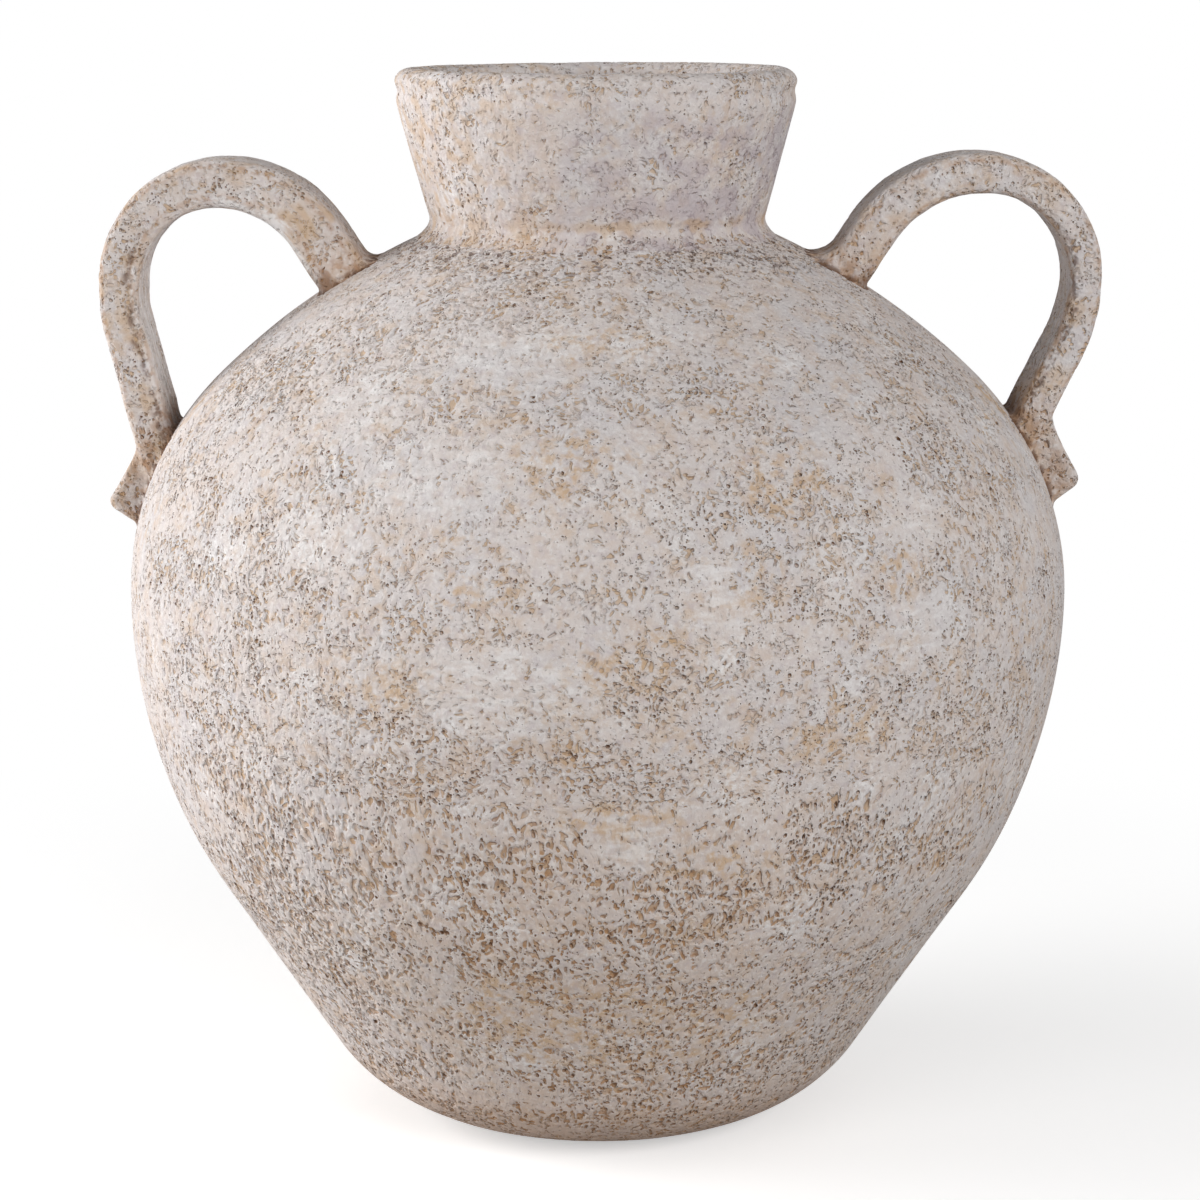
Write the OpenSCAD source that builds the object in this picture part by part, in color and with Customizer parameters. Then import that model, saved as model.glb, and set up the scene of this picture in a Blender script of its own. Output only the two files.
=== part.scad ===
// Two-handled clay jar, thrown in sections that are luted together with slip.
// Millimetres, +Z up, origin at the centre of the foot, handles along X.

/* [Body] */
// Height from the foot to the top of the rim
jar_h = 350; // [315:1:390]
// Radius of the belly at its widest
belly_r = 156.5; // [146:0.5:168]
// Drop from the top of the rim to the belly line
belly_drop = 172.5; // [156:0.5:190]
// Curve radius of the wall below the belly
low_arc_r = 180; // [168:1:200]
// Degrees that this curve turns before the wall runs straight
low_arc_turn = 32.8; // [30:0.2:36]
// Curve radius under the foot
foot_round = 52; // [42:1:60]
// Curve radius of the wall above the belly
high_arc_r = 100; // [92:1:110]
// Degrees that this curve turns before the shoulder
high_arc_turn = 46; // [42:0.5:50]
// Curve radius of the shoulder
shoulder_arc_r = 245; // [215:1:290]
// Thickness of the thrown wall
wall_t = 9; // [7:0.5:11]

/* [Floor] */
// Thickness of the floor slab
floor_t = 12; // [10:0.5:15]
// Depth of the rebate that the wall stands in
floor_lap = 4; // [2:0.5:6]
// Height of the wall's toe above the floor
toe_rise = 3; // [2:0.5:5]

/* [Luted joints] */
// Width of the ridge that keys one ring to the next
ridge_w = 4; // [2:0.5:5]
// Height of that ridge
ridge_h = 3; // [1.5:0.5:5]
// Film of slip between luted faces
slip_film = 0.3; // [0.1:0.1:0.5]

/* [Neck] */
// Outer radius of the neck at its root
neck_r = 54.5; // [48:0.5:60]
// Outer radius of the neck under the rim
mouth_r = 65; // [60:0.5:72]
// Thickness of the neck
neck_t = 8; // [6:0.5:10]
// Depth of the gallery that the neck stands in
gallery_d = 2; // [1:0.5:3]
// Leg of the coil pressed into the corner round the neck
root_coil = 3.5; // [2.5:0.5:8]

/* [Rim] */
// Height of the rolled rim
rim_h = 14; // [10:0.5:18]
// Thickness of the rolled rim
rim_t = 10.5; // [9:0.5:14]

/* [Handles] */
// Thickness of the strap at its crown
strap_t = 15; // [13:0.5:18]
// Thickness of the strap at its upper root
root_t = 17; // [14:0.5:20]
// Thickness of the strap down its outer leg
leg_t = 12.5; // [12:0.5:16]
// Width of the strap, front to back
strap_w = 30; // [22:1:36]
// Rounding of the strap's edges
strap_round = 5.5; // [3:0.5:6]
// Curve radius of the arch on the outer side, to the strap's middle
arch_r = 34; // [30:0.5:40]
// Degrees that the strap turns from its crown to its root
root_turn = 57; // [50:1:64]
// Curve radius of the outer leg
leg_arc_r = 55; // [45:1:90]

/* [Left handle] */
// Reach of the handle past the belly
left_reach = 7.5; // [2:0.5:14]
// Rise of its top above the neck's root
left_rise = 23.5; // [18:0.5:30]
// Degrees that its outer leg leans in
left_lean = 14; // [12:1:30]
// Curve radius of its arch towards the neck
left_root_arc = 38.5; // [36:0.5:46]
// How far down the wall the underside of its tail ends
left_tail_foot = 13.5; // [12:0.5:21]

/* [Right handle] */
// Reach of the handle past the belly
right_reach = 9.5; // [2:0.5:14]
// Rise of its top above the neck's root
right_rise = 25.5; // [18:0.5:30]
// Degrees that its outer leg leans in
right_lean = 26; // [12:1:30]
// Curve radius of its arch towards the neck
right_root_arc = 41.5; // [36:0.5:46]
// How far down the wall the underside of its tail ends
right_tail_foot = 19; // [12:0.5:21]

/* [Wads and tails] */
// Leg of the wad in the corner between strap and shoulder
wad = 5; // [3:0.5:8]
// Length of the tail up the strap from where strap and wall meet
tail_up = 14; // [8:0.5:18]
// How far the tail's tip stands off the wall
tail_out = 11; // [9:0.5:14]
// How far up the wall the tip lies from the end of its underside
tail_lift = 6; // [4:0.5:8]
// Rounding of the tail's tip
tail_round = 3.5; // [2:0.5:4]
// Width of the tail, front to back
tail_w = 26; // [18:1:32]

/* [Hidden] */
$fn = 360;

// Lime slip over the body, wiped slip on neck and rim, and tan clay where it is rubbed off
LIMED = "#d8d0ca";
WIPED = "#d9cdbf";
BARE = "#b79a75";

// Farther than any outline reaches
far = 2 * (jar_h + belly_r);

// Height of the belly line, which follows the rim
belly_z = jar_h - belly_drop;

// Body outline: out of the straight lower wall, and out of the join below the shoulder
low_out = [cos(low_arc_turn), -sin(low_arc_turn)];
high_out = [cos(high_arc_turn), sin(high_arc_turn)];

// Centres of the body's curves
low_c = [belly_r - low_arc_r, belly_z];
high_c = [belly_r - high_arc_r, belly_z];
shoulder_c = high_c - (shoulder_arc_r - high_arc_r) * high_out;
low_end = low_c + low_arc_r * low_out;
straight = (low_end[1] - foot_round * (1 - sin(low_arc_turn))) / cos(low_arc_turn);
foot_c = low_end - straight * [sin(low_arc_turn), cos(low_arc_turn)] - foot_round * low_out;

// Height of a circle's upper side at radius r
function top_of(c, radius, r) = c[1] + sqrt(pow(radius, 2) - pow(r - c[0], 2));

// Floor: the wall's toe stands in a rebate round the slab
lap_z = floor_t - floor_lap;
toe_z = floor_t + toe_rise;
toe_r = foot_c[0] + sqrt(pow(foot_round - wall_t, 2) - pow(foot_round - toe_z, 2));

// Neck: its root on the shoulder, its seat in the gallery and its top
root_z = top_of(shoulder_c, shoulder_arc_r, neck_r);
seat_z = root_z - gallery_d;
neck_top = jar_h - rim_h;
function neck_out(z) = neck_r + (mouth_r - neck_r) * (z - root_z) / (neck_top - root_z);
rim_mid = mouth_r - neck_t / 2;
seam_mid = belly_r - wall_t / 2;

// Handles: reach past the belly, rise above the neck's root, lean, arch radius and tail
left = [left_reach, left_rise, left_lean, left_root_arc, left_tail_foot];
right = [right_reach, right_rise, right_lean, right_root_arc, right_tail_foot];

// Flats round an edge of the strap, along its two arches and its leg, and round a tail's tip
corner_steps = 5;
arc_steps = 12;
leg_steps = 6;
tip_steps = 8;

// How far the strap runs on towards the middle of the body before it is cut
run_in = high_arc_r;

// The part of a flat shape between two heights, right of the axis
module band(low, high) {
    intersection() {
        union() children();
        translate([0, low]) square([far, high - low]);
    }
}

// Half outline of the body, closed at the top, grown outwards by a distance;
// each curve laps the next, inside the line that they share
module outline(grow = 0) {
    foot_end = foot_c + (foot_round + grow) * low_out;
    wall_end = low_c + (low_arc_r + grow) * low_out;
    bend_end = high_c + (high_arc_r + grow) * high_out;
    polygon([[0, -grow], [foot_c[0], -grow], foot_end, wall_end, [0, wall_end[1]]]);
    band(-grow, far) translate(foot_c) circle(foot_round + grow);
    band(foot_end[1], belly_z) translate(low_c) circle(low_arc_r + grow);
    band(wall_end[1], far) translate(high_c) circle(high_arc_r + grow);
    band(bend_end[1], far) translate(shoulder_c) circle(shoulder_arc_r + grow);
}

// Section of the keying ridge, rooted in the ring above a face at height 0 and hanging below it
module ridge(grow = 0) {
    half = ridge_w / 2 + grow;
    deep = ridge_h + grow;
    polygon([[-half, ridge_h], [-half, 0], [-half / 2, -deep], [half / 2, -deep], [half, 0], [half, ridge_h]]);
}

module floor_slab() {
    color(BARE) rotate_extrude() {
        band(0, lap_z) outline();
        translate([0, lap_z]) square([toe_r - slip_film, floor_lap]);
    }
}

module lower_wall() {
    color(LIMED) rotate_extrude() difference() {
        band(lap_z, belly_z) outline();
        outline(-wall_t);
        square([toe_r, toe_z]);
        translate([seam_mid, belly_z]) ridge(slip_film);
    }
}

module shoulder_wall() {
    color(LIMED) rotate_extrude() {
        difference() {
            band(belly_z, far) outline();
            outline(-wall_t);
            square([neck_out(seat_z) - neck_t, far]);
            translate([0, seat_z]) square([neck_r + slip_film, far]);
        }
        translate([seam_mid, belly_z]) ridge();
    }
}

module neck_collar() {
    foot_r = neck_out(seat_z);
    color(WIPED) rotate_extrude() difference() {
        polygon([
            [foot_r - neck_t, seat_z], [foot_r, seat_z],
            [mouth_r, neck_top], [mouth_r - neck_t, neck_top],
        ]);
        translate([rim_mid, neck_top]) ridge(slip_film);
    }
}

module neck_root_coil() {
    low = seat_z - root_coil;
    top = root_z + root_coil;
    edge_r = neck_r + root_coil;
    color(WIPED) rotate_extrude() difference() {
        polygon([
            [neck_out(low) + slip_film, low], [edge_r, low],
            [edge_r, top_of(shoulder_c, shoulder_arc_r, edge_r)],
            [neck_out(top) + slip_film, top],
        ]);
        outline(slip_film);
    }
}

module rim_coil() {
    color(WIPED) rotate_extrude() {
        translate([rim_mid, neck_top]) {
            polygon([
                [-neck_t / 2, 0], [neck_t / 2, 0],
                [rim_t / 2, rim_h - rim_t / 2], [-rim_t / 2, rim_h - rim_t / 2],
            ]);
            translate([0, rim_h - rim_t / 2]) circle(rim_t / 2);
            ridge();
        }
    }
}

// Strap: each station is [x, z, degrees that its outer face looks, thickness]
function station(c, radius, a, t) = [c[0] + radius * cos(a), c[1] + radius * sin(a), a, t];
function onward(s, run) = [s[0] + run * sin(s[2]), s[1] - run * cos(s[2]), s[2], s[3]];
function crown(side) = [
    belly_r + side[0] - leg_t / 2 - arch_r,
    root_z + side[1] - strap_t / 2,
];
function root_c(side) = crown(side) - [0, side[3]];
function leg_c(side) = crown(side) + [arch_r - leg_arc_r, -arch_r];
function root_end(side) = station(root_c(side), side[3], 90 + root_turn, root_t);
function leg_end(side) = station(leg_c(side), leg_arc_r, -side[2], leg_t);
function stations(side) = [
    onward(root_end(side), -run_in),
    for (i = [0 : arc_steps - 1])
        let (rest = 1 - i / arc_steps)
        station(root_c(side), side[3], 90 + root_turn * rest, strap_t + (root_t - strap_t) * rest),
    for (i = [0 : arc_steps - 1])
        let (rest = 1 - i / arc_steps)
        station(crown(side) - [0, arch_r], arch_r, 90 * rest, leg_t + (strap_t - leg_t) * rest),
    for (i = [0 : leg_steps])
        station(leg_c(side), leg_arc_r, -side[2] * i / leg_steps, leg_t),
    onward(leg_end(side), run_in),
];

// Rounded section of the strap, as [out of the loop, front to back]
function section(t) = [
    for (k = [0 : 3])
        let (out = (k == 0 || k == 3) ? 1 : -1, back = k < 2 ? 1 : -1)
        for (j = [0 : corner_steps])
            let (a = 90 * (k + j / corner_steps))
            [out * (t / 2 - strap_round) + strap_round * cos(a),
             back * (strap_w / 2 - strap_round) + strap_round * sin(a)],
];

module strap(side) {
    path = stations(side);
    ring = len(section(strap_t));
    last = (len(path) - 1) * ring;
    points = [
        for (s = path)
            for (p = section(s[3]))
                [s[0] + p[0] * cos(s[2]), p[1], s[1] + p[0] * sin(s[2])],
    ];
    sides = [
        for (i = [0 : len(path) - 2])
            for (j = [0 : ring - 1])
                let (a = i * ring + j, b = i * ring + (j + 1) % ring)
                each [[a, b, b + ring], [a, b + ring, a + ring]],
    ];
    ends = [
        [for (j = [0 : ring - 1]) ring - 1 - j],
        [for (j = [0 : ring - 1]) last + j],
    ];
    polyhedron(points, concat(sides, ends));
}

// A flat outline drawn in X and Z, thick in Y
module slab(width) {
    rotate([90, 0, 0]) linear_extrude(width, center = true) children();
}

// Cut away what lies inside the body and its film of slip
module luted() {
    difference() {
        children();
        rotate_extrude() outline(slip_film);
    }
}

// Where a line from p along a unit direction d first meets a circle
function meet(p, d, c, radius) =
    let (along = (p - c) * d)
    p - (along + sqrt(pow(along, 2) - (p - c) * (p - c) + pow(radius, 2))) * d;

// Degrees round a circle at which the line from p touches it, on the side that turn picks
function touch(p, c, radius, turn) =
    atan2(p[1] - c[1], p[0] - c[0]) + turn * acos(radius / norm(p - c));

module handle(side) {
    color(BARE) luted() strap(side);
}

// Wad of clay in the corner between the strap's upper face and the shoulder
module root_wad(side) {
    s = root_end(side);
    up = [cos(root_turn), sin(root_turn)];
    face = [s[0], s[1]] + (root_t / 2 + slip_film) * [cos(s[2]), sin(s[2])];
    corner = meet(face, -up, shoulder_c, shoulder_arc_r);
    edge_r = corner[0] - wad;
    color(WIPED) luted() slab(strap_w - 2 * strap_round) polygon([
        corner - wad * up, corner + wad * up,
        [edge_r, top_of(shoulder_c, shoulder_arc_r, edge_r)], [edge_r, corner[1] - wad],
    ]);
}

// Pinched tail below the strap's lower end, pressed against strap and wall
module tail(side) {
    s = leg_end(side);
    down = -[sin(side[2]), cos(side[2])];
    face = [s[0], s[1]] + (leg_t / 2 + slip_film) * [cos(s[2]), sin(s[2])];
    corner = meet(face, down, high_c, high_arc_r);
    angle = atan2(corner[1] - high_c[1], corner[0] - high_c[0]);
    per_mm = 180 / (PI * high_arc_r);
    tip_a = angle - (side[4] - tail_lift) * per_mm;
    foot_a = angle - side[4] * per_mm;
    tip = high_c + (high_arc_r + tail_out - tail_round) * [cos(tip_a), sin(tip_a)];
    foot = high_c + high_arc_r * [cos(foot_a), sin(foot_a)];
    top = corner - tail_up * down;
    low = min(foot[1], tip[1] - tail_round);
    from = touch(top, tip, tail_round, -1);
    to = touch(foot, tip, tail_round, 1);
    color(BARE) luted() intersection() {
        slab(far) polygon([
            corner + side[4] * down, top,
            for (i = [0 : tip_steps])
                let (a = from + (to - from) * i / tip_steps)
                tip + tail_round * [cos(a), sin(a)],
            foot,
        ]);
        rotate([90, 0, 90]) linear_extrude(far) {
            translate([0, low + tail_w / 2]) circle(tail_w / 2);
            translate([-tail_w / 2, low + tail_w / 2]) square([tail_w, far]);
        }
    }
}

module left_handle() mirror([1, 0, 0]) handle(left);
module left_root_wad() mirror([1, 0, 0]) root_wad(left);
module left_tail() mirror([1, 0, 0]) tail(left);
module right_handle() handle(right);
module right_root_wad() root_wad(right);
module right_tail() tail(right);

floor_slab();
lower_wall();
shoulder_wall();
neck_collar();
neck_root_coil();
rim_coil();
left_handle();
left_root_wad();
left_tail();
right_handle();
right_root_wad();
right_tail();
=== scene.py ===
"""Looks of a two-handled clay jar with a pitted lime skin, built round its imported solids."""

import math

import bpy
import numpy as np
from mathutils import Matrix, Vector


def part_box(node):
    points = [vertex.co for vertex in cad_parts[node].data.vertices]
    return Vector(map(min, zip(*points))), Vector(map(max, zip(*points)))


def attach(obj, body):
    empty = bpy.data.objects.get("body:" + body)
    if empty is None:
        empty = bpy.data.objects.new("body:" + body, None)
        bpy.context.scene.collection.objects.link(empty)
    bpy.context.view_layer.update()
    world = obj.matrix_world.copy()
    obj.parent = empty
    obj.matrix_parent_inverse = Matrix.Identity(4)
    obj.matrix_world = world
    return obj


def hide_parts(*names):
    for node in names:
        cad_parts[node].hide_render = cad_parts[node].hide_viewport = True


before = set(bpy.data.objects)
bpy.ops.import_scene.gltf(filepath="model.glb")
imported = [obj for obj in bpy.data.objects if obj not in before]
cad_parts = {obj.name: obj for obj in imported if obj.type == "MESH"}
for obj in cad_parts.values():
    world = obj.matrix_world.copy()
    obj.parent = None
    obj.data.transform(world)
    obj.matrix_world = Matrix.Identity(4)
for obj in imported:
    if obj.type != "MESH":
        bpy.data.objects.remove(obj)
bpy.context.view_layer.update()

# All sizes of the jar below are millimetres; meshes are made in metres
MM = 0.001


def box_mm(node):
    """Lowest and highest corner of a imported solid, in millimetres."""
    low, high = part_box(node)
    return np.array(low) / MM, np.array(high) / MM


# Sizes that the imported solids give
WALL_LOW, WALL_HIGH = box_mm("lower_wall")
NECK_LOW, NECK_HIGH = box_mm("neck_collar")
RIM_HIGH = box_mm("rim_coil")[1]
BELLY_R, BELLY_Z = WALL_HIGH[1], WALL_HIGH[2]
LAP_Z = WALL_LOW[2]
SEAT_Z, NECK_TOP, MOUTH_R = NECK_LOW[2], NECK_HIGH[2], NECK_HIGH[1]
RIM_R, JAR_H = RIM_HIGH[1], RIM_HIGH[2]

# Height of the hollow under the rolled lip, and how far the rim is sunk, tilted, twisted and shifted
LIP_Z = JAR_H - 7.5
RIM_SUNK, RIM_TILT, RIM_TWIST, RIM_SHIFT = 0.15, 0.1, 0.4, 0.6

# Curves of the body, as the solids have them: thicknesses, radii, and degrees of turn
WALL_T = 9.0
FLOOR_T = 12.0
TOE_RISE = 3.0
FOOT_ROUND = 52.0
LOW_ARC_R, LOW_TURN = 180.0, 32.8
HIGH_ARC_R, HIGH_TURN = 100.0, 46.0
SHOULDER_ARC_R = 245.0
NECK_R, NECK_T = 54.5, 8.0
RIM_T = 10.5

# Height of the rim's flanks, how far they draw in outside and inside, and the gap at the wall's toe
RIM_FLANK, FLANK_OUT, FLANK_IN = 5.0, 0.1, 0.4
TOE_GAP = 0.3

# The coil round the neck's root: its rise and spread, its bead in the corner and how deep its back lies
COIL_RISE, COIL_SPREAD, COIL_BEAD, COIL_SUNK = 4.0, 5.0, 0.9, 0.8

# Both straps: thickness, width, rounding of the edges, depth in the wall and longest run to it, and arcs
STRAP_T, ROOT_T, LEG_T = 15.0, 17.0, 12.5
STRAP_W, STRAP_EDGE = 30.0, 3.4
SEAT_DEPTH, SEAT_RUN = 4.0, 90.0
ARCH_R, ROOT_TURN, LEG_ARC_R = 34.0, 57.0, 55.0

# Both pinched tails, how deep their tops lie in the strap, and the share of their height at which they flare
TAIL_UP, TAIL_OUT, TAIL_LIFT, TAIL_ROUND, TAIL_W = 14.0, 11.0, 6.0, 3.5, 26.0
TAIL_TUCK, TAIL_FLARE = 3.0, 0.15

# Fillet of clay smeared into the corner between a strap and the wall
CORNER_FILLET = 2.0

# What differs between the straps: radius of the arch to the root, degrees that the leg leans in, thickness
# at the foot, the tail's run down the wall, and the gains of the inner side and of the fillet to the neck
STRAPS = {
    "left": {"root_arc": 38.5, "lean": 14.0, "foot_t": 14.4, "foot_run": 13.5, "under": 1.6, "web": 2.5},
    "right": {"root_arc": 41.5, "lean": 26.0, "foot_t": 12.5, "foot_run": 19.0, "under": -1.2, "web": 7.0},
}

# Facets round the jar, and the spacing of points up its skin, inside it and along a strap
BODY_AROUND, NECK_AROUND, INSIDE_AROUND = 1200, 500, 300
SKIN_STEP, NECK_STEP, INSIDE_STEP = 0.82, 0.82, 4.0
STRAP_STEP = 0.9

# Radius of the flat faces that close the floor in the middle, and their half width and height in the map
HUB_R = 4.0
HUB_MAP = (0.01, 0.001)

# Depths that are carved: hollows in the lime, waves and dents in the clay and how far these stand proud,
# the groove under the lip, throwing rings and wear
BODY_HOLLOW, NECK_HOLLOW, STRAP_HOLLOW = 0.40, 0.30, 0.20
BODY_WAVE, NECK_DENT, STRAP_DENT = 0.8, 0.6, 0.9
BODY_PROUD, NECK_PROUD = 0.15, 0.1
LIP_GROOVE, THROWN_RING, FOOT_WEAR = 0.9, 1.1, 0.25

# What each point keeps from before the skin is carved: its place in millimetres, the way straight out of the
# clay, 1 inside the jar, and on a strap its place along, across and out of it and how far the wall is
PLACE, OUTWARD, INNER, RUN, GAP = "clay_place", "skin_out", "inner_side", "strap_run", "wall_gap"

# What the carving adds to each point: how bare the lime leaves it, from 0, wiped smooth, to 1
BARE = "lime_bareness"


def turned(degrees):
    """Unit direction in the plane of radius and height."""
    a = np.radians(degrees)
    return np.stack([np.cos(a), np.sin(a)], -1)


# Centres of the body's arcs, from the belly down to the foot and up to the neck
LOW_C = np.array([BELLY_R - LOW_ARC_R, BELLY_Z])
HIGH_C = np.array([BELLY_R - HIGH_ARC_R, BELLY_Z])
SHOULDER_C = HIGH_C - (SHOULDER_ARC_R - HIGH_ARC_R) * turned(HIGH_TURN)
LOW_END = LOW_C + LOW_ARC_R * turned(-LOW_TURN)
FOOT_RISE = FOOT_ROUND * (1 - math.sin(math.radians(LOW_TURN)))
STRAIGHT = (LOW_END[1] - FOOT_RISE) / math.cos(math.radians(LOW_TURN))
FOOT_C = LOW_END + STRAIGHT * turned(-90 - LOW_TURN) - FOOT_ROUND * turned(-LOW_TURN)


def shoulder_z(radius):
    """Height of the shoulder's outside at a radius."""
    return SHOULDER_C[1] + math.sqrt(SHOULDER_ARC_R ** 2 - (radius - SHOULDER_C[0]) ** 2)


ROOT_Z = shoulder_z(NECK_R)


def arc(centre, radius, start, end, steps=60):
    """Points along an arc between two directions in degrees."""
    return centre + radius * turned(np.linspace(start, end, steps + 1))


def run_along(points):
    """How far along a line each of its points lies."""
    return np.concatenate([[0], np.cumsum(np.linalg.norm(np.diff(points, axis=0), axis=1))])


def even(points, step):
    """The same line with points about step apart."""
    points = np.asarray(points, float)
    run = run_along(points)
    marks = np.linspace(0, run[-1], max(2, int(round(run[-1] / step)) + 1))
    return np.stack([np.interp(marks, run, points[:, k]) for k in range(points.shape[1])], -1)


def bent(start, control, end, shares):
    """Points on the curve that leaves its start towards a control point and comes from there to its end."""
    t = shares[:, None]
    return (1 - t) ** 2 * start + 2 * t * (1 - t) * control + t ** 2 * end


def body_line(low, high, inset, step):
    """Points up the body between two heights, inset from its outside."""
    line = np.concatenate([
        arc(FOOT_C, FOOT_ROUND - inset, -90, -LOW_TURN),
        arc(LOW_C, LOW_ARC_R - inset, -LOW_TURN, 0),
        arc(HIGH_C, HIGH_ARC_R - inset, 0, HIGH_TURN)[1:],
        arc(SHOULDER_C, SHOULDER_ARC_R - inset, HIGH_TURN, 90)[1:],
    ])
    heights = line[:, 1]
    ends = [[np.interp(z, heights, line[:, 0]), z] for z in (low, high)]
    return even([ends[0], *line[(heights > low) & (heights < high)], ends[1]], step)


def neck_line(z):
    """Outer radius of the neck at a height."""
    return NECK_R + (MOUTH_R - NECK_R) * (z - ROOT_Z) / (NECK_TOP - ROOT_Z)


def keep(mesh, name, values):
    """Keeps a vector or a number for each point of a mesh, under a name that materials and carvings read."""
    values = np.asarray(values, np.float32)
    kind, field = ("FLOAT", "value") if values.ndim == 1 else ("FLOAT_VECTOR", "vector")
    mesh.attributes.new(name, kind, "POINT").data.foreach_set(field, values.ravel())


def point_array(mesh, what):
    """Co-ordinates or normals of a mesh's points."""
    values = np.empty(len(mesh.vertices) * 3, np.float32)
    mesh.vertices.foreach_get(what, values)
    return values.reshape(-1, 3).astype(float)


def move_points(mesh, places):
    """Puts the points of a mesh at places in millimetres."""
    mesh.vertices.foreach_set("co", (places * MM).astype(np.float32).ravel())


def new_object(name, data):
    """An object of the scene."""
    made = bpy.data.objects.new(name, data)
    bpy.context.scene.collection.objects.link(made)
    return made


def mesh_piece(name, points, faces, corner_uv=None):
    """An object from points in millimetres and arrays of faces, each array with its own corner count."""
    mesh = bpy.data.meshes.new(name)
    counts = np.concatenate([np.full(len(f), f.shape[1]) for f in faces])
    starts = np.concatenate([[0], np.cumsum(counts)[:-1]])
    corners = np.concatenate([f.ravel() for f in faces])
    mesh.vertices.add(len(points))
    move_points(mesh, points)
    mesh.loops.add(len(corners))
    mesh.loops.foreach_set("vertex_index", corners.astype(np.int32))
    mesh.polygons.add(len(counts))
    mesh.polygons.foreach_set("loop_start", starts.astype(np.int32))
    mesh.update(calc_edges=True)
    if corner_uv is not None:
        layer = mesh.uv_layers.new(name="OFBake")
        flat_uv = np.concatenate([c.reshape(-1, 2) for c in corner_uv])
        layer.data.foreach_set("uv", flat_uv.astype(np.float32).ravel())
    return new_object(name, mesh)


def strip_rings(line, around):
    """Points of the rings of one strip of a turned piece, and their directions straight out of the clay."""
    turn = math.pi / 2 + 2 * math.pi * np.arange(around) / around
    spoke = np.stack([np.cos(turn), np.sin(turn), np.zeros(around)], -1)
    up = np.array([0.0, 0.0, 1.0])
    ahead = np.gradient(line, axis=0) if len(line) > 1 else np.zeros((1, 2))
    ahead /= np.maximum(np.linalg.norm(ahead, axis=1, keepdims=True), 1e-9)
    points = [radius * spoke + height * up for radius, height in line]
    outs = [step_z * spoke - step_r * up for step_r, step_z in ahead]
    return points, outs


def ring_faces(a, b):
    """Faces and map corners between two rings, given by their first point, count and height in the map."""
    (start_a, around_a, v_a), (start_b, around_b, v_b) = a, b
    few = min(around_a, around_b)
    j = np.arange(few)[:, None]
    steps_a, steps_b = around_a // few, around_b // few
    low = j * steps_a + np.arange(steps_a + 1)
    high = (j * steps_b + np.arange(steps_b + 1))[:, ::-1]
    faces = np.concatenate([start_a + low % around_a, start_b + high % around_b], 1)
    u = np.concatenate([low / around_a, high / around_b], 1)
    v = np.concatenate([np.full(low.shape, v_a), np.full(high.shape, v_b)], 1)
    return faces, np.stack([u, v], -1)


def hub_face(ring, way):
    """One face that closes a ring, and its map corners; way is 1 or -1, the order of its corners."""
    first, around, v = ring
    turn = 2 * math.pi * np.arange(around)[::way] / around
    corners = np.stack([0.5 + HUB_MAP[0] * np.cos(turn), v + HUB_MAP[1] * np.sin(turn)], -1)
    return first + np.arange(around)[None, ::way], corners[None]


def sharpen(mesh, ring_of, borders):
    """Marks the edges along some rings of a turned piece as sharp."""
    ends = np.empty(len(mesh.edges) * 2, np.int32)
    mesh.edges.foreach_get("vertices", ends)
    ring_a, ring_b = ring_of[ends.reshape(-1, 2)].T
    layer = mesh.attributes.new("sharp_edge", "BOOLEAN", "EDGE")
    layer.data.foreach_set("value", (ring_a == ring_b) & np.isin(ring_a, list(borders)))


def lathe(name, strips, hubs=False):
    """A closed piece of revolution. A strip is its points as radius and height, its facets and its finish.
    Strips follow each other round the section, and their facets differ by a whole number of times."""
    rings, points, outs, finish_of, borders = [], [], [], [], set()
    rows = sum(len(line) for line, _, _ in strips)
    start = 0
    for line, around, finish in strips:
        borders |= {len(rings), len(rings) + len(line) - 1}
        strip_points, strip_outs = strip_rings(line, around)
        points += strip_points
        outs += strip_outs
        finish_of += [finish] * len(line)
        for _ in line:
            rings.append((start, around, (len(rings) + 0.5) / (rows + 1)))
            start += around
    pairs = list(zip(rings, rings[1:]))
    if not hubs:
        pairs.append((rings[-1], rings[0]))
    faces, uvs = map(list, zip(*[ring_faces(a, b) for a, b in pairs]))
    finishes = [np.full(len(f), finish) for f, finish in zip(faces, finish_of)]
    for k, way in ((0, -1), (-1, 1)) if hubs else ():
        face, corners = hub_face(rings[k], way)
        faces.append(face)
        uvs.append(corners)
        finishes.append(np.full(1, finish_of[k]))
    piece = mesh_piece(name, np.concatenate(points), faces, uvs)
    mesh = piece.data
    counts = [around for _, around, _ in rings]
    mesh.polygons.foreach_set("material_index", np.concatenate(finishes).astype(np.int32))
    keep(mesh, PLACE, np.concatenate(points))
    keep(mesh, OUTWARD, np.concatenate(outs))
    keep(mesh, INNER, np.repeat(finish_of, counts))
    sharpen(mesh, np.repeat(np.arange(len(rings)), counts), borders)
    return piece


def math_method(operation, swapped=False):
    """A method of a wire for a Math node on it and another value, which comes first if they are swapped."""
    def method(self, other):
        return self.math(operation, *((other, self) if swapped else (self, other)))
    return method


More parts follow.
